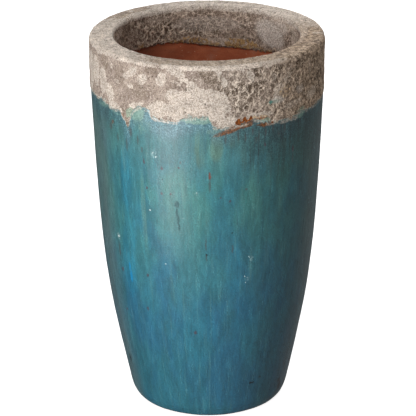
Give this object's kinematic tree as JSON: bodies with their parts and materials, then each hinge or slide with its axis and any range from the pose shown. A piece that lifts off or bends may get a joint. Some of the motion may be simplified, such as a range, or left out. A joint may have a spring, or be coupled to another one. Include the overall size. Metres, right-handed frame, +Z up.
{
  "type": "planter pot",
  "caption": "Tall round tapered clay planter with a glazed body, a thick rough crusted collar and a drain hole in the floor.",
  "frame": {"origin": "on the ground at the centre of the foot", "axes": "+Z up along the axis of revolution, towards the mouth; X and Y are level, and -Y faces the viewer's side"},
  "size_m": [0.406, 0.406, 0.673],
  "materials": {
    "bare_clay": "matte",
    "teal_glaze": "satin",
    "volcanic_crust": "matte"
  },
  "bodies": {
    "root": {"base_slab": "bare_clay", "corner_coil": "bare_clay", "wall": "bare_clay", "rim_collar": "bare_clay", "glaze_coat": "teal_glaze", "rim_crust": "volcanic_crust"}
  },
  "joints": []
}
